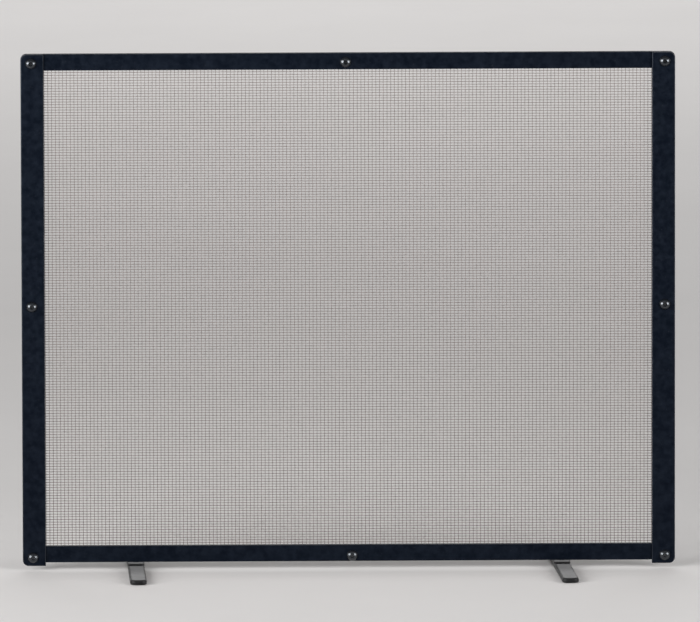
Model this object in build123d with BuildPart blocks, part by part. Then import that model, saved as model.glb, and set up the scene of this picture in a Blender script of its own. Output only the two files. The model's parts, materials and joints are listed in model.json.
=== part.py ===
"""Free-standing fireplace screen: a bolted frame of flat steel bars that clamps a woven wire cloth,
on two flat-bar feet that swivel under the bottom rail.

Millimetres. +X to the viewer's right, -Y towards the viewer, +Z up. The origin is on the floor,
midway between the feet, under the middle of the wire cloth's thickness.
"""

import os
from math import cos, radians

from build123d import *

# ---------------------------------------------------------------------------- driving dimensions
OVERALL_WIDTH = 990.6  # 39 in across the stiles
OVERALL_HEIGHT = 793.75  # 31 1/4 in, floor to the top edge

STILE_WIDTH = 35.0
RAIL_WIDTH = 25.4
BAR_THICKNESS = 3.2
STILE_DROP = 5.0  # the stiles end this far below the bottom rail
OUTER_CORNER = 9.0  # radius of the frame's four outer corners
STILE_EDGE = 2.0  # rounding of a stile's exposed edges
RAIL_EDGE = 1.2

WIRE = 0.9  # wire diameter of the cloth
CLOTH_THICKNESS = 2 * WIRE  # one wire over another
CLOTH_SHEET = 0.28  # a solid sheet this thick weighs as much as the cloth
CLOTH_INSET = 5.0  # from the frame's outer edge to the cloth's cut edge
CLOTH_GRIP = 6.0  # band at full thickness, gripped by the bars round the opening
CLOTH_HOLE = 6.0  # radius of the clearance cut in the cloth at each screw

# Frame screws: 3/8 in button head, hex socket
SCREW_FROM_SIDE = 15.5  # from the frame's outer side edge to the stile screws
SCREW_FROM_TOP = 14.0  # from the top edge to the three upper screws
SCREW_FROM_STILE_END = 13.0  # from a stile's lower end to its lowest screw
SIDE_SCREW_RISE = 6.0  # the side screws sit this far above a stile's middle
TOP_SCREW_X = -3.5  # the rail screws are drilled a little off centre
BOTTOM_SCREW_X = 5.0
BOTTOM_SCREW_RISE = 8.7  # above the bottom rail's lower edge
SHANK = 4.76  # radius
SCREW_HOLE = 5.0  # radius
HEAD_RADIUS = 8.35
HEAD_HEIGHT = 5.05
HEAD_RIM = 0.5  # upright edge under the dome
HEAD_FLAT = 3.6  # radius of the flat round the socket
HEAD_LEAN = 0.35  # the dome leaves the rim leaning in by this much for 1 of height
SOCKET_ACROSS_FLATS = 5.56
SOCKET_DEPTH = 3.1
STILE_SCREW_LENGTH = 25.4
RAIL_SCREW_LENGTH = 22.2
SCREW_END = 1.0  # chamfer on a screw's end
WASHER_RADIUS, WASHER_THICKNESS = 9.5, 1.65
NUT_ACROSS_FLATS, NUT_THICKNESS = 14.3, 8.5
NUT_BEVEL = 0.7
THREAD_CLEARANCE = 0.05

# Feet, each on a rivet under its bracket
FOOT_X = 323.5  # from the middle to each pivot
FOOT_WIDTH = 25.4
FOOT_LENGTH = 266.7  # 10 1/2 in, half before and half behind the pivot
FOOT_THICKNESS = 7.94  # 5/16 in
FOOT_CORNER = 9.0
FOOT_EDGE = 3.5  # rounding of the upper edge
SOLE_EDGE = 2.5  # and of the sole's
FOOT_TURN = {"left": 1.5, "right": 4.6}  # degrees from square, as the loose feet lie
BRACKET_WIDTH = 25.4
BRACKET_REACH = 14.0  # how far the lug stands out in front of the rail
BRACKET_HEIGHT = 25.0  # of the upright leg, from the lug's underside
BRACKET_BEND = 4.2  # outer radius of the bend
BRACKET_INNER_BEND = 1.0
BRACKET_CORNER = 4.0
BRACKET_EDGE = 1.4  # rounding all round its inner face, the lug's upper edge included
BRACKET_SCREW_SPACING = 13.0
BRACKET_SCREW_LENGTH = 13.0
SMALL_SHANK, SMALL_HOLE = 2.5, 2.65  # M5, radii
SMALL_HEAD_RADIUS, SMALL_HEAD_DEPTH = 4.8, 2.3  # 90 degree countersunk head
SMALL_NUT_ACROSS_FLATS, SMALL_NUT_THICKNESS = 8.0, 4.7
PIVOT_RADIUS = 4.0
PIVOT_CLEARANCE = 0.05  # radial, foot on rivet
PIVOT_HEAD_RADIUS = 7.0
PIVOT_HEAD_LOW, PIVOT_HEAD_HIGH = 0.6, 3.0  # the head stays off the floor
PIVOT_FLARE = 1.2  # the rivet's upper end is peened into a countersink this deep
SINK_RADIUS, SINK_DEPTH = 8.0, 3.1  # counterbore in the foot's sole
PIVOT_WASHER_RADIUS, PIVOT_WASHER_THICKNESS = 11.0, 0.8

# ------------------------------------------------------------------------------- worked-out places
SIDES = {"left": -1, "right": 1}
half_width = OVERALL_WIDTH / 2
bracket_low = FOOT_THICKNESS + PIVOT_WASHER_THICKNESS
rail_low = bracket_low + BAR_THICKNESS
rail_low_top = rail_low + RAIL_WIDTH
rail_high = OVERALL_HEIGHT - RAIL_WIDTH
stile_low = rail_low - STILE_DROP
stile_middle = (stile_low + OVERALL_HEIGHT) / 2
opening_half = half_width - STILE_WIDTH

# Layers from the middle of the cloth, as distances towards the viewer
cloth_face = CLOTH_THICKNESS / 2
rail_face = cloth_face + BAR_THICKNESS
stile_face = rail_face + BAR_THICKNESS
rear_face = -(cloth_face + BAR_THICKNESS)
bracket_back = rear_face - BAR_THICKNESS

upper_z = OVERALL_HEIGHT - SCREW_FROM_TOP
side_z = stile_middle + SIDE_SCREW_RISE
lower_z = stile_low + SCREW_FROM_STILE_END
screw_x = half_width - SCREW_FROM_SIDE
top_screw = (TOP_SCREW_X, upper_z)
bottom_screw = (BOTTOM_SCREW_X, rail_low + BOTTOM_SCREW_RISE)
stile_screw_places = [(s * screw_x, z) for s in SIDES.values() for z in (upper_z, side_z, lower_z)]
rail_screw_places = [top_screw, bottom_screw]
small_screw_z = rail_low + RAIL_WIDTH / 2
small_screw_places = [
    (s * FOOT_X + offset, small_screw_z)
    for s in SIDES.values()
    for offset in (-BRACKET_SCREW_SPACING / 2, BRACKET_SCREW_SPACING / 2)
]


def write(piece, name):
    """Labels a finished piece and writes it as its own file."""
    piece.part.label = name
    export_step(piece.part, f"parts/{name}.step")


def on_side(places, sign):
    """The places on one side of the middle."""
    return [p for p in places if p[0] * sign > 0]


def block(x_low, x_high, z_low, z_high):
    """A rectangle in the frame's plane, given by its edges."""
    with Locations(((x_low + x_high) / 2, (z_low + z_high) / 2)):
        Rectangle(x_high - x_low, z_high - z_low)


def drill(places, radius):
    """Round holes in the sketch of a bar."""
    with Locations(*places):
        Circle(radius, mode=Mode.SUBTRACT)


def soften(bar, axis_end, radius):
    """Rounds the outer edges of a bar's exposed face, the first or the last one along Y."""
    fillet(bar.faces().sort_by(Axis.Y)[axis_end].outer_wire().edges(), radius)


def write_nuts(name, places, seat, across_flats, thickness, bore):
    """Hex nuts behind one face, with the corners of both ends turned down."""
    corner = across_flats / 2 / cos(radians(30))
    with BuildPart() as turned:
        with BuildSketch(Plane.XZ.offset(seat)):
            with Locations(*places):
                Circle(corner)
        extrude(amount=-thickness)
        chamfer(turned.faces().filter_by(Axis.Y).edges(), NUT_BEVEL)
    with BuildPart() as nuts:
        with BuildSketch(Plane.XZ.offset(seat)):
            with Locations(*places):
                RegularPolygon(across_flats / 2, 6, major_radius=False)
        extrude(amount=-thickness)
        add(turned.part, mode=Mode.INTERSECT)
        with BuildSketch(Plane.XZ.offset(seat)):
            with Locations(*places):
                Circle(bore)
        extrude(amount=-thickness, mode=Mode.SUBTRACT)
    write(nuts, name)


os.makedirs("parts", exist_ok=True)

# ---------------------------------------------------------------------------------- upright bars
for side, sign in SIDES.items():
    outer, inner = sorted((sign * half_width, sign * opening_half))
    outer_end = 0 if sign < 0 else -1

    with BuildPart() as front_stile:
        with BuildSketch(Plane.XZ.offset(rail_face)) as outline:
            block(outer, inner, stile_low, OVERALL_HEIGHT)
            fillet(outline.vertices().group_by(Axis.X)[outer_end], OUTER_CORNER)
            drill(on_side(stile_screw_places, sign), SCREW_HOLE)
        extrude(amount=BAR_THICKNESS)
        soften(front_stile, 0, STILE_EDGE)
    write(front_stile, f"front_{side}_stile")

    with BuildPart() as rear_stile:
        with BuildSketch(Plane.XZ.offset(-cloth_face)) as outline:
            block(outer, inner, stile_low, OVERALL_HEIGHT)
            fillet(outline.vertices().group_by(Axis.X)[outer_end], OUTER_CORNER)
            drill(on_side(stile_screw_places, sign), SCREW_HOLE)
        extrude(amount=-BAR_THICKNESS)
        soften(rear_stile, -1, STILE_EDGE)
    write(rear_stile, f"rear_{side}_stile")

    # Fills the depth of the rails behind the stile, between the two rails.
    with BuildPart() as packing_strip:
        with BuildSketch(Plane.XZ.offset(cloth_face)):
            block(outer, inner, rail_low_top, rail_high)
            drill([(sign * screw_x, side_z)], SCREW_HOLE)
        extrude(amount=BAR_THICKNESS)
    write(packing_strip, f"{side}_packing_strip")

# ----------------------------------------------------------------------------------------- rails
corner_screws = {
    "top": [p for p in stile_screw_places if p[1] == upper_z] + [top_screw],
    "bottom": [p for p in stile_screw_places if p[1] == lower_z] + [bottom_screw],
}
rail_spans = {"top": (rail_high, OVERALL_HEIGHT), "bottom": (rail_low, rail_low_top)}

for end, (z_low, z_high) in rail_spans.items():
    outer_end = -1 if end == "top" else 0

    # The front rail runs the full width behind the stiles.
    with BuildPart() as front_rail:
        with BuildSketch(Plane.XZ.offset(cloth_face)) as outline:
            block(-half_width, half_width, z_low, z_high)
            fillet(outline.vertices().group_by(Axis.Y)[outer_end], OUTER_CORNER)
            drill(corner_screws[end], SCREW_HOLE)
        extrude(amount=BAR_THICKNESS)
        long_edges = front_rail.faces().sort_by(Axis.Y)[0].edges().filter_by(Axis.X)
        fillet(long_edges, RAIL_EDGE)
    write(front_rail, f"front_{end}_rail")

    # The rear rail fits between the rear stiles.
    with BuildPart() as rear_rail:
        with BuildSketch(Plane.XZ.offset(-cloth_face)):
            block(-opening_half, opening_half, z_low, z_high)
            drill([corner_screws[end][-1]], SCREW_HOLE)
        extrude(amount=-BAR_THICKNESS)
        soften(rear_rail, -1, RAIL_EDGE)
        if end == "bottom":
            # Countersinks on the cloth side for the bracket screws
            cloth_side = Plane.XZ.offset(-cloth_face).location
            with Locations(*[cloth_side * Pos(x, z, 0) for x, z in small_screw_places]):
                CounterSinkHole(SMALL_HOLE, SMALL_HEAD_RADIUS + THREAD_CLEARANCE, BAR_THICKNESS, 90)
    write(rear_rail, f"rear_{end}_rail")

# ------------------------------------------------------------------------------------ wire cloth
# A closed sheet of the cloth's weight, at the cloth's full thickness where the bars grip it.
with BuildPart() as mesh_panel:
    with BuildSketch(Plane.XZ):
        block(
            CLOTH_INSET - half_width,
            half_width - CLOTH_INSET,
            rail_low + CLOTH_INSET,
            OVERALL_HEIGHT - CLOTH_INSET,
        )
        drill(stile_screw_places + rail_screw_places, CLOTH_HOLE)
    extrude(amount=CLOTH_SHEET / 2, both=True)
    with BuildSketch(Plane.XZ):
        block(
            -opening_half - CLOTH_GRIP,
            opening_half + CLOTH_GRIP,
            rail_low_top - CLOTH_GRIP,
            rail_high + CLOTH_GRIP,
        )
        with Locations((0, (rail_low_top + rail_high) / 2)):
            Rectangle(2 * opening_half, rail_high - rail_low_top, mode=Mode.SUBTRACT)
        drill(rail_screw_places, CLOTH_HOLE)
    extrude(amount=cloth_face, both=True)
write(mesh_panel, "mesh_panel")


# ---------------------------------------------------------------------------------- frame screws
for name, places, seat, length in (
    ("stile_screws", stile_screw_places, stile_face, STILE_SCREW_LENGTH),
    ("rail_screws", rail_screw_places, rail_face, RAIL_SCREW_LENGTH),
):
    with BuildPart() as screws:
        for x, z in places:
            # Half of the screw's outline, in a level plane through its axis
            with BuildSketch(Plane.XY.offset(z)):
                with BuildLine():
                    crown = seat + HEAD_HEIGHT
                    rim = seat + HEAD_RIM
                    Polyline(
                        (x, -crown),
                        (x, length - seat),
                        (x + SHANK - SCREW_END, length - seat),
                        (x + SHANK, length - seat - SCREW_END),
                        (x + SHANK, -seat),
                        (x + HEAD_RADIUS, -seat),
                        (x + HEAD_RADIUS, -rim),
                    )
                    TangentArc(
                        (x + HEAD_RADIUS, -rim),
                        (x + HEAD_FLAT, -crown),
                        tangent=(-HEAD_LEAN, -1),
                    )
                    Line((x + HEAD_FLAT, -crown), (x, -crown))
                make_face()
            revolve(axis=Axis((x, 0, z), (0, 1, 0)))
        with BuildSketch(Plane.XZ.offset(seat + HEAD_HEIGHT)):
            with Locations(*places):
                RegularPolygon(SOCKET_ACROSS_FLATS / 2, 6, major_radius=False)
        extrude(amount=-SOCKET_DEPTH, mode=Mode.SUBTRACT)
    write(screws, name)

all_places = stile_screw_places + rail_screw_places

with BuildPart() as frame_washers:
    with BuildSketch(Plane.XZ.offset(rear_face)):
        with Locations(*all_places):
            Circle(WASHER_RADIUS)
            Circle(SCREW_HOLE, mode=Mode.SUBTRACT)
    extrude(amount=-WASHER_THICKNESS)
write(frame_washers, "frame_washers")

write_nuts(
    "frame_nuts",
    all_places,
    rear_face - WASHER_THICKNESS,
    NUT_ACROSS_FLATS,
    NUT_THICKNESS,
    SHANK + THREAD_CLEARANCE,
)

# -------------------------------------------------------------------------------- foot brackets
for side, sign in SIDES.items():
    pivot_x = sign * FOOT_X

    # An angle: the lug under the rails and the upright leg behind them
    with BuildPart() as foot_bracket:
        with BuildSketch(Plane.YZ.offset(pivot_x - BRACKET_WIDTH / 2)) as profile:
            front, back = -rail_face - BRACKET_REACH, -bracket_back
            with BuildLine():
                Polyline(
                    (front, bracket_low),
                    (back, bracket_low),
                    (back, bracket_low + BRACKET_HEIGHT),
                    (back - BAR_THICKNESS, bracket_low + BRACKET_HEIGHT),
                    (back - BAR_THICKNESS, rail_low),
                    (front, rail_low),
                    close=True,
                )
            make_face()
            outside = profile.vertices().sort_by_distance((back, bracket_low))[0]
            fillet(outside, BRACKET_BEND)
            inside = profile.vertices().sort_by_distance((back - BAR_THICKNESS, rail_low))[0]
            fillet(inside, BRACKET_INNER_BEND)
        extrude(amount=BRACKET_WIDTH)
        lug_end = foot_bracket.faces().sort_by(Axis.Y)[0]
        fillet(lug_end.edges().filter_by(Axis.Z), BRACKET_CORNER)
        leg_end = foot_bracket.faces().sort_by(Axis.Z)[-1]
        fillet(leg_end.edges().filter_by(Axis.Y), BRACKET_CORNER)
        lug_front = foot_bracket.faces().sort_by(Axis.Y)[0]
        fillet(lug_front.edges().filter_by(Axis.X).sort_by(Axis.Z)[-1], BRACKET_EDGE)
        with BuildSketch(Plane.XZ.offset(bracket_back)):
            with Locations(*on_side(small_screw_places, sign)):
                Circle(SMALL_HOLE)
        extrude(amount=BAR_THICKNESS, mode=Mode.SUBTRACT)
        with Locations((pivot_x, 0, rail_low)):
            CounterSinkHole(
                PIVOT_RADIUS + PIVOT_CLEARANCE,
                PIVOT_RADIUS + PIVOT_CLEARANCE + PIVOT_FLARE,
                BAR_THICKNESS,
                90,
            )
    write(foot_bracket, f"{side}_foot_bracket")

# Countersunk screws, from the cloth side of the rear bottom rail into nuts behind the brackets
with BuildPart() as bracket_screws:
    with BuildSketch(Plane.XZ.offset(-cloth_face)):
        with Locations(*small_screw_places):
            Circle(SMALL_SHANK)
    extrude(amount=-BRACKET_SCREW_LENGTH)
    for x, z in small_screw_places:
        with Locations(Plane.XZ.offset(-cloth_face - SMALL_HEAD_DEPTH / 2).location * Pos(x, z, 0)):
            Cone(SMALL_HEAD_RADIUS - SMALL_HEAD_DEPTH, SMALL_HEAD_RADIUS, SMALL_HEAD_DEPTH)
write(bracket_screws, "bracket_screws")

write_nuts(
    "bracket_nuts",
    small_screw_places,
    bracket_back,
    SMALL_NUT_ACROSS_FLATS,
    SMALL_NUT_THICKNESS,
    SMALL_SHANK + THREAD_CLEARANCE,
)

# ------------------------------------------------------------------------------ feet and pivots
for side, sign in SIDES.items():
    pivot_x = sign * FOOT_X

    with BuildPart() as foot:
        with BuildSketch():
            with Locations((pivot_x, 0)):
                RectangleRounded(FOOT_WIDTH, FOOT_LENGTH, FOOT_CORNER, rotation=FOOT_TURN[side])
        extrude(amount=FOOT_THICKNESS)
        fillet(foot.faces().sort_by(Axis.Z)[-1].edges(), FOOT_EDGE)
        fillet(foot.faces().sort_by(Axis.Z)[0].edges(), SOLE_EDGE)
        with Locations((pivot_x, 0, FOOT_THICKNESS)):
            Hole(PIVOT_RADIUS + PIVOT_CLEARANCE, FOOT_THICKNESS)
        with BuildSketch():
            with Locations((pivot_x, 0)):
                Circle(SINK_RADIUS)
        extrude(amount=SINK_DEPTH, mode=Mode.SUBTRACT)
    write(foot, f"{side}_foot")

    # Head sunk in the sole, shank through foot, washer and lug, upper end flush with the lug
    with BuildPart() as pivot_rivet:
        with BuildSketch(Plane.XZ):
            with BuildLine():
                Polyline(
                    (pivot_x, PIVOT_HEAD_LOW),
                    (pivot_x + PIVOT_HEAD_RADIUS, PIVOT_HEAD_LOW),
                    (pivot_x + PIVOT_HEAD_RADIUS, PIVOT_HEAD_HIGH),
                    (pivot_x + PIVOT_RADIUS, PIVOT_HEAD_HIGH),
                    (pivot_x + PIVOT_RADIUS, rail_low - PIVOT_FLARE),
                    (pivot_x + PIVOT_RADIUS + PIVOT_FLARE, rail_low),
                    (pivot_x, rail_low),
                    close=True,
                )
            make_face()
        revolve(axis=Axis((pivot_x, 0, 0), (0, 0, 1)))
    write(pivot_rivet, f"{side}_pivot_rivet")

    with BuildPart() as pivot_washer:
        with BuildSketch(Plane.XY.offset(FOOT_THICKNESS)):
            with Locations((pivot_x, 0)):
                Circle(PIVOT_WASHER_RADIUS)
                Circle(PIVOT_RADIUS + PIVOT_CLEARANCE, mode=Mode.SUBTRACT)
        extrude(amount=PIVOT_WASHER_THICKNESS)
    write(pivot_washer, f"{side}_pivot_washer")
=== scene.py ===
import json
import math

import bpy
import numpy as np
from mathutils import Matrix, Vector


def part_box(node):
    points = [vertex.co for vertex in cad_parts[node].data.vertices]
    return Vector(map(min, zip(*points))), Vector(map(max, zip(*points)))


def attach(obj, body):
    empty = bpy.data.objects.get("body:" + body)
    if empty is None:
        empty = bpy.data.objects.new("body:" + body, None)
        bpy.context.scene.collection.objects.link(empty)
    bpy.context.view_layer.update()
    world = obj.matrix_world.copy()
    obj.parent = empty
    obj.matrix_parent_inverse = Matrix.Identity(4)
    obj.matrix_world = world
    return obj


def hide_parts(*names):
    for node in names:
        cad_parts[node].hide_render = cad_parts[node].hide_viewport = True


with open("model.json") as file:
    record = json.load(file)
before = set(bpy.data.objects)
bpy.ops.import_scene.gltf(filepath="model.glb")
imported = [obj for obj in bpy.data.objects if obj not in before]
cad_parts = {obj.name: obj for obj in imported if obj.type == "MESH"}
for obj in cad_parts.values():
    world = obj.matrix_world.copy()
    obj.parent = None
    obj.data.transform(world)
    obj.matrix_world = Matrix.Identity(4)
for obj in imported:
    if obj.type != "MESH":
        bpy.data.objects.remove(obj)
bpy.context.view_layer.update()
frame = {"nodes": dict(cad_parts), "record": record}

# Metres throughout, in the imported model's frame: +X right, -Y towards the viewer, +Z up.
MM = 0.001

# Wire cloth
WIRE = 0.9 * MM  # wire diameter
WIRE_SIDES = 6
PITCH_X = 5.64 * MM  # between upright wires
PITCH_Z = 4.09 * MM  # between level wires
SELVAGE = 18 * MM  # from the cloth's side edge to its first upright wire
LEVEL_MARGIN = 2 * MM  # from its upper and lower edges to the nearest level wire
SCREW_ROOM = 6 * MM  # radius cut out of the cloth round each frame screw
SCREW_REACH = 30 * MM  # wider than a screw's head, and less than from one screw to the next

# Paint and steel: linear colours, and the specular tint that gives the black its navy cast
FRAME_DARK, FRAME_LIGHT = (0.0010, 0.0020, 0.0048), (0.0048, 0.0068, 0.0116)
# The edge colour lightens the rounded bar edges: partly rubbed paint, partly a painted highlight.
FRAME_WEAR_AND_HIGHLIGHT = (0.050, 0.054, 0.064)
FRAME_TINT = (0.66, 0.82, 1.0, 1)
FOOT_DARK, FOOT_LIGHT = (0.0035, 0.0034, 0.0036), (0.009, 0.0088, 0.0094)
# The feet's edge colour likewise: partly rubbed paint, partly a painted highlight.
FOOT_WEAR_AND_HIGHLIGHT = (0.03, 0.03, 0.03)
OXIDE_DARK, OXIDE_LIGHT = (0.0012, 0.0020, 0.0032), (0.0036, 0.0048, 0.0070)
OXIDE_TINT = (0.88, 0.93, 1.0, 1)
WIRE_DARK, WIRE_LIGHT = (0.105, 0.082, 0.076), (0.155, 0.124, 0.116)
FLOOR_DARK, FLOOR_LIGHT = (0.715, 0.697, 0.688), (0.745, 0.727, 0.718)
WORN_ROUGHNESS = (0.24, 0.24, 0.24)
# How strongly rounded edges take the edge colour, standing for rubbed paint and a painted
# highlight.
WEAR_AND_HIGHLIGHT_STRENGTH = 0.6
EDGE_STARTS, EDGE_FULL = 0.05, 0.22  # how far a normal leans from an axis on a rounded edge, lightened partly by rubbing and partly as a painted highlight

# Floor
FLOOR_REACH = 40.0
FLOOR_DROP = 0.2 * MM  # keeps it clear of the soles

# Lights: name, place, point aimed at, width and height, watts, spread in degrees
LIGHTS = (
    ("left_light", (-2.4, -1.8, 1.1), (0, 0, 1.25), (3.0, 1.6), 67, 100),
    ("right_light", (2.6, -1.9, 1.05), (0, 0, 1.2), (2.4, 1.5), 42, 100),
    ("back_light", (0, 6.6, 3.2), (0, 4.6, 0), (6.0, 2.0), 130, 180),
    ("middle_light", (0, 3.4, 3.4), (0, 2.4, 0), (4.0, 1.5), 15, 180),
    ("front_top_light", (0, -1.9, 2.4), (0, -0.9, 0), (2.6, 1.2), 4, 180),
)
WORLD_STRENGTH = 0.165

# Camera: as the photograph, from far away and a little above; angles in degrees
CAMERA_AZIMUTH = -0.8
CAMERA_ELEVATION = 9.86
CAMERA_ROLL = -0.133
CAMERA_DISTANCE = 30.0
VIEW_WIDTH = 1.0612  # across the picture at the screen
AIM = Vector((0, 0, 0.400))
AIM_RIGHT = 0.00247  # the picture's centre lies this far from AIM, in the picture's plane
AIM_UP = -0.0031
SENSOR_WIDTH = 36.0  # mm
CLIP_START, CLIP_END = 1.0, 500.0


def in_scene(thing):
    bpy.context.scene.collection.objects.link(thing)
    return thing


# ------------------------------------------------------------------------------ node helpers
class Nodes:
    """A short way to build one material's node tree."""

    def __init__(self, name):
        self.material = bpy.data.materials.new(name)
        self.material.use_nodes = True
        self.tree = self.material.node_tree
        self.tree.nodes.clear()
        self.shader = self.add("ShaderNodeBsdfPrincipled")
        output = self.add("ShaderNodeOutputMaterial")
        self.join(self.shader.outputs["BSDF"], output.inputs["Surface"])

    def add(self, kind, **inputs):
        """A new node, with values for its unlinked sockets."""
        node = self.tree.nodes.new(kind)
        for key, value in inputs.items():
            node.inputs[key].default_value = value
        return node

    def join(self, output, target):
        self.tree.links.new(output, target)

    def set(self, **inputs):
        """Links outputs to the shader's sockets, or sets plain values; _ stands for a space."""
        for key, value in inputs.items():
            self.feed(self.shader.inputs[key.replace("_", " ")], value)

    def feed(self, socket, value):
        if hasattr(value, "links"):
            self.join(value, socket)
        else:
            socket.default_value = value

    def noise(self, scale, detail=4.0, roughness=0.55, stretch=(1, 1, 1), offset=(0, 0, 0)):
        """Noise in object space, optionally stretched, as a number from 0 to 1."""
        place = self.add("ShaderNodeTexCoord")
        mapping = self.add("ShaderNodeMapping", Scale=stretch, Location=offset)
        self.join(place.outputs["Object"], mapping.inputs["Vector"])
        noise = self.add("ShaderNodeTexNoise", Scale=scale, Detail=detail, Roughness=roughness)
        self.join(mapping.outputs["Vector"], noise.inputs["Vector"])
        return noise.outputs["Fac"]

    def ramp(self, value, *stops):
        """A colour or grey ramp over two (place, colour) stops."""
        node = self.add("ShaderNodeValToRGB")
        for element, (place, colour) in zip(node.color_ramp.elements, stops):
            element.position = place
            element.color = (*colour, 1) if isinstance(colour, tuple) else (colour,) * 3 + (1,)
        self.join(value, node.inputs["Fac"])
        return node.outputs["Color"]

    def mix(self, share, first, second):
        """First and second colours mixed; each may be an output or a plain colour."""
        node = self.add("ShaderNodeMix")
        node.data_type = "RGBA"
        for key, value in (("Factor", share), ("A", first), ("B", second)):
            socket = next(s for s in node.inputs if s.name == key and s.enabled)
            self.feed(socket, (*value, 1) if isinstance(value, tuple) else value)
        return next(s for s in node.outputs if s.enabled)

    def maths(self, operation, first, second):
        node = self.add("ShaderNodeMath")
        node.operation = operation
        for socket, value in zip(node.inputs, (first, second)):
            self.feed(socket, value)
        return node.outputs[0]

    def bump(self, height, strength, distance, before=None):
        """A bumped normal, on top of another one if it is given."""
        node = self.add("ShaderNodeBump", Strength=strength, Distance=distance)
        self.join(height, node.inputs["Height"])
        if before is not None:
            self.join(before, node.inputs["Normal"])
        return node.outputs["Normal"]


def edge_wear_and_highlight_mask(nodes):
    """1 on the rounded edges of square-cut bar and 0 on its flat faces, broken up by noise; it
    lightens those edges, partly as rubbed paint and partly as a painted highlight.
    """
    place = nodes.add("ShaderNodeTexCoord")
    absolute = nodes.add("ShaderNodeVectorMath")
    absolute.operation = "ABSOLUTE"
    nodes.join(place.outputs["Normal"], absolute.inputs[0])
    parts = nodes.add("ShaderNodeSeparateXYZ")
    nodes.join(absolute.outputs["Vector"], parts.inputs[0])
    largest = nodes.maths("MAXIMUM", parts.outputs["X"], parts.outputs["Y"])
    largest = nodes.maths("MAXIMUM", largest, parts.outputs["Z"])
    leaning = nodes.maths("SUBTRACT", 1.0, largest)
    rounded = nodes.ramp(leaning, (EDGE_STARTS, 0.0), (EDGE_FULL, 1.0))
    patches = nodes.noise(scale=28.0, detail=5.0, roughness=0.6, offset=(2, 7, 4))
    return nodes.maths("MULTIPLY", rounded, nodes.ramp(patches, (0.32, 0.25), (0.62, 1.0)))


def painted_bar(name, dark, light, wear_and_highlight_colour, roughness, **finish):
    """Black paint on flat bar: faint mottling, fine orange peel, and lighter edges that are
    partly rubbed paint and partly a painted highlight.
    """
    n = Nodes(name)
    smooth, rough = roughness
    mottle = n.noise(scale=105.0, detail=5.0, roughness=0.6)
    specks = n.noise(scale=350.0, detail=2.0, roughness=0.5, offset=(3, 5, 1))
    faint_specks = n.ramp(specks, (0.68, 0.0), (0.78, 0.16))
    # Rounded edges lightened towards the edge colour, partly rubbed paint and partly a painted
    # highlight; the faint specks are rubbed paint.
    edge_wear_and_highlight = edge_wear_and_highlight_mask(n)
    rubbed_and_highlighted = n.maths("MAXIMUM", faint_specks, n.maths("MULTIPLY", edge_wear_and_highlight, WEAR_AND_HIGHLIGHT_STRENGTH))
    dull_patches = n.ramp(n.noise(scale=35.0, detail=5.0), (0.3, smooth), (0.75, rough))
    rolling = n.noise(scale=60.0, detail=3.0, roughness=0.5, stretch=(1, 1, 0.25))
    rolled = n.bump(rolling, strength=0.10, distance=0.6 * MM)
    peel = n.noise(scale=900.0, detail=3.0, roughness=0.6)
    n.set(
        Base_Color=n.mix(rubbed_and_highlighted, n.ramp(mottle, (0.36, dark), (0.68, light)), wear_and_highlight_colour),
        Roughness=n.mix(edge_wear_and_highlight, dull_patches, WORN_ROUGHNESS),
        Normal=n.bump(peel, strength=0.22, distance=0.25 * MM, before=rolled),
        **finish,
    )
    return n.material


def black_oxide():
    """Glossy black fastener steel with a faint turned finish."""
    n = Nodes("black_oxide")
    n.set(
        Base_Color=n.ramp(n.noise(scale=250.0), (0.35, OXIDE_DARK), (0.7, OXIDE_LIGHT)),
        Roughness=n.ramp(n.noise(scale=700.0, detail=3.0), (0.3, 0.22), (0.75, 0.30)),
        Normal=n.bump(n.noise(scale=1500.0, detail=2.0), strength=0.12, distance=0.1 * MM),
        Specular_IOR_Level=0.85,
        Specular_Tint=OXIDE_TINT,
    )
    return n.material


def wire_paint():
    """Thin black paint on drawn wire, a little uneven along its length."""
    n = Nodes("wire_paint")
    n.set(
        Base_Color=n.ramp(n.noise(scale=120.0), (0.3, WIRE_DARK), (0.75, WIRE_LIGHT)),
        Roughness=n.ramp(n.noise(scale=400.0, detail=3.0), (0.3, 0.38), (0.75, 0.58)),
        Normal=n.bump(n.noise(scale=2500.0, detail=2.0), strength=0.15, distance=0.1 * MM),
    )
    return n.material


def pale_floor():
    n = Nodes("pale_floor")
    tone = n.ramp(n.noise(scale=2.0, detail=5.0), (0.3, FLOOR_DARK), (0.7, FLOOR_LIGHT))
    n.set(Base_Color=tone, Roughness=0.9)
    return n.material


# --------------------------------------------------------------------------------- wire cloth
def spread_out(low, high, pitch):
    """Wires a pitch apart, as many as fit, set out from the middle."""
    count = int((high - low) / pitch)
    return (low + high) / 2 + (np.arange(count + 1) - count / 2) * pitch


def separate_middles(node):
    """The middles of a node's separate screws, as (x, z)."""
    points = np.array([(v.co.x, v.co.z) for v in frame["nodes"][node].data.vertices])
    middles = []
    while len(points):
        near = np.linalg.norm(points - points[0], axis=1) < SCREW_REACH
        middles.append((points[near].min(axis=0) + points[near].max(axis=0)) / 2)
        points = points[~near]
    return middles


def strands(centres, low, high, screws):
    """
    Each wire as its place in the set, where it lies and its two ends. screws are (across, along)
    the wires, and a wire that would meet one is in pieces.
    """
    found = []
    for place, centre in enumerate(centres):
        ends = [low]
        for across, along in sorted(screws, key=lambda screw: screw[1]):
            if abs(across - centre) < SCREW_ROOM:
                ends += [along - SCREW_ROOM, along + SCREW_ROOM]
        ends.append(high)
        found += [(place, centre, a, b) for a, b in zip(ends[::2], ends[1::2]) if b - a > WIRE]
    return found


def halves(wires, middle):
    """The wires that lie below or left of a middle line, and the others."""
    before = [wire for wire in wires if wire[1] < middle]
    return before, [wire for wire in wires if wire[1] >= middle]


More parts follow.
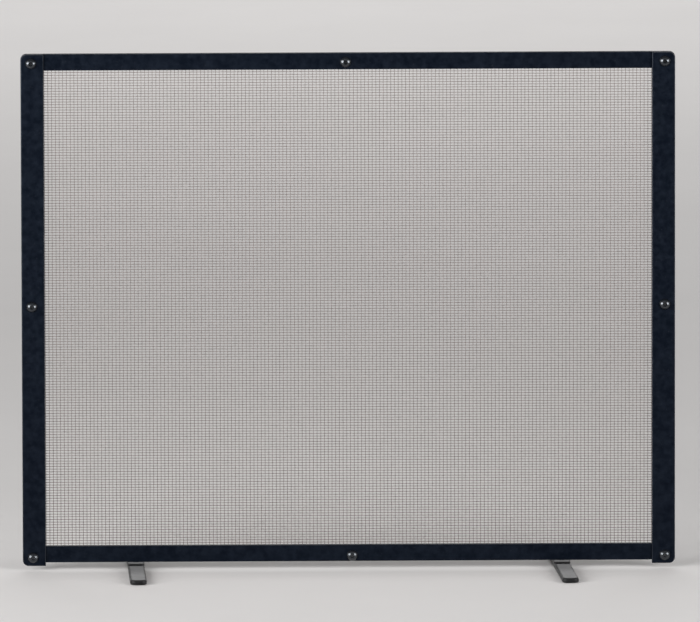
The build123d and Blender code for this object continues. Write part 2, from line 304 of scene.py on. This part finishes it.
def woven_wires(name, wires, crossings, upright):
    """A set of crimped wires as one mesh: each passes over and under the wires it crosses."""
    turn = (np.arange(WIRE_SIDES) + 0.5) * 2 * math.pi / WIRE_SIDES
    side = np.arange(WIRE_SIDES)
    following = (side + 1) % WIRE_SIDES
    points, faces = [], []
    start = 0
    for place, centre, low, high in wires:
        crossed = np.flatnonzero((crossings > low + WIRE) & (crossings < high - WIRE))
        over = (crossed + place + upright) % 2 == 0
        along = np.concatenate([[low], crossings[crossed], [high]])
        wave = np.concatenate([[0], np.where(over, WIRE / 2, -WIRE / 2), [0]])
        rings = len(along)
        across = np.broadcast_to(centre + np.cos(turn) * WIRE / 2, (rings, WIRE_SIDES))
        depth = wave[:, None] + np.sin(turn) * WIRE / 2
        length = np.repeat(along[:, None], WIRE_SIDES, axis=1)
        columns = (across, depth, length) if upright else (length, depth, across)
        points.append(np.stack(columns, axis=-1).reshape(-1, 3))
        ring = start + np.arange(rings - 1)[:, None] * WIRE_SIDES
        next_ring = ring + WIRE_SIDES
        quads = (ring + side, ring + following, next_ring + following, next_ring + side)
        faces += np.stack(quads, axis=-1).reshape(-1, 4).tolist()
        faces.append((start + side[::-1]).tolist())
        faces.append((start + (rings - 1) * WIRE_SIDES + side).tolist())
        start += rings * WIRE_SIDES
    mesh = bpy.data.meshes.new(name)
    mesh.from_pydata(np.concatenate(points).tolist(), [], faces)
    mesh.update()
    mesh.shade_smooth()
    return in_scene(bpy.data.objects.new(name, mesh))


# ----------------------------------------------------------------------------------- the model
frame_paint = painted_bar(
    "frame_paint",
    FRAME_DARK,
    FRAME_LIGHT,
    FRAME_WEAR_AND_HIGHLIGHT,
    roughness=(0.32, 0.46),
    Specular_IOR_Level=0.085,
    Specular_Tint=FRAME_TINT,
)
# The sheen greys the feet's upper faces, seen at a low angle, and leaves their ends dark.
foot_paint = painted_bar(
    "foot_paint",
    FOOT_DARK,
    FOOT_LIGHT,
    FOOT_WEAR_AND_HIGHLIGHT,
    roughness=(0.39, 0.53),
    Specular_IOR_Level=0.15,
    Sheen_Weight=0.20,
    Sheen_Roughness=0.4,
)
material_of_slot = {
    "frame_paint": frame_paint,
    "foot_paint": foot_paint,
    "black_fasteners": black_oxide(),
    "wire_cloth": wire_paint(),
}
for subpart in frame["record"]["subparts"]:
    materials = frame["nodes"][subpart["node"]].data.materials
    materials.clear()
    materials.append(material_of_slot[subpart["material_slot"]])

cloth_low, cloth_high = map(Vector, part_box("mesh_panel"))
cloth_middle = (cloth_low + cloth_high) / 2
screws = separate_middles("stile_screws") + separate_middles("rail_screws")
turned_screws = [(z, x) for x, z in screws]
wire_x = spread_out(cloth_low.x + SELVAGE, cloth_high.x - SELVAGE, PITCH_X)
wire_z = spread_out(cloth_low.z + LEVEL_MARGIN, cloth_high.z - LEVEL_MARGIN, PITCH_Z)
uprights = strands(wire_x, cloth_low.z, cloth_high.z, screws)
levels = strands(wire_z, cloth_low.x, cloth_high.x, turned_screws)
left, right = halves(uprights, cloth_middle.x)
lower, upper = halves(levels, cloth_middle.z)

wire_sets = {
    "cloth_wires_upright_left": (left, wire_z, True),
    "cloth_wires_upright_right": (right, wire_z, True),
    "cloth_wires_level_lower": (lower, wire_x, False),
    "cloth_wires_level_upper": (upper, wire_x, False),
}
for name, (wires, crossings, upright) in wire_sets.items():
    woven = woven_wires(name, wires, crossings, upright)
    woven.data.materials.append(material_of_slot["wire_cloth"])
    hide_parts("mesh_panel")
    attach(woven, "frame")


# -------------------------------------------------------------------------------- floor, light
floor_mesh = bpy.data.meshes.new("floor")
corners = [(x * FLOOR_REACH, y * FLOOR_REACH, 0) for x, y in ((-1, -1), (1, -1), (1, 1), (-1, 1))]
floor_mesh.from_pydata(corners, [], [(0, 1, 2, 3)])
floor_mesh.materials.append(pale_floor())
floor = in_scene(bpy.data.objects.new("floor", floor_mesh))
floor.location.z = -FLOOR_DROP

for name, place, target, size, watts, spread in LIGHTS:
    panel = bpy.data.lights.new(name, "AREA")
    panel.shape = "RECTANGLE"
    panel.size, panel.size_y = size
    panel.energy = watts
    panel.spread = math.radians(spread)
    light = in_scene(bpy.data.objects.new(name, panel))
    light.location = place
    direction = Vector(target) - Vector(place)
    light.rotation_euler = direction.to_track_quat("-Z", "Y").to_euler()
    light.visible_camera = False

world = bpy.data.worlds.new("studio")
world.use_nodes = True
background = world.node_tree.nodes["Background"]
background.inputs["Color"].default_value = (1, 1, 1, 1)
background.inputs["Strength"].default_value = WORLD_STRENGTH
bpy.context.scene.world = world

# -------------------------------------------------------------------------------------- camera
azimuth, elevation = math.radians(CAMERA_AZIMUTH), math.radians(CAMERA_ELEVATION)
back = Vector(
    (
        math.sin(azimuth) * math.cos(elevation),
        -math.cos(azimuth) * math.cos(elevation),
        math.sin(elevation),
    )
)
sideways = (-back).cross(Vector((0, 0, 1))).normalized()
up = sideways.cross(-back)
camera_data = bpy.data.cameras.new("camera")
camera_data.sensor_width = SENSOR_WIDTH
camera_data.lens = SENSOR_WIDTH * CAMERA_DISTANCE / VIEW_WIDTH
camera_data.clip_start, camera_data.clip_end = CLIP_START, CLIP_END
camera = in_scene(bpy.data.objects.new("camera", camera_data))
place = Matrix.Translation(AIM + sideways * AIM_RIGHT + up * AIM_UP + back * CAMERA_DISTANCE)
turn = (-back).to_track_quat("-Z", "Y").to_matrix().to_4x4()
roll = Matrix.Rotation(math.radians(CAMERA_ROLL), 4, "Z")
camera.matrix_world = place @ turn @ roll
bpy.context.scene.camera = camera
bpy.context.scene.view_settings.view_transform = "Standard"
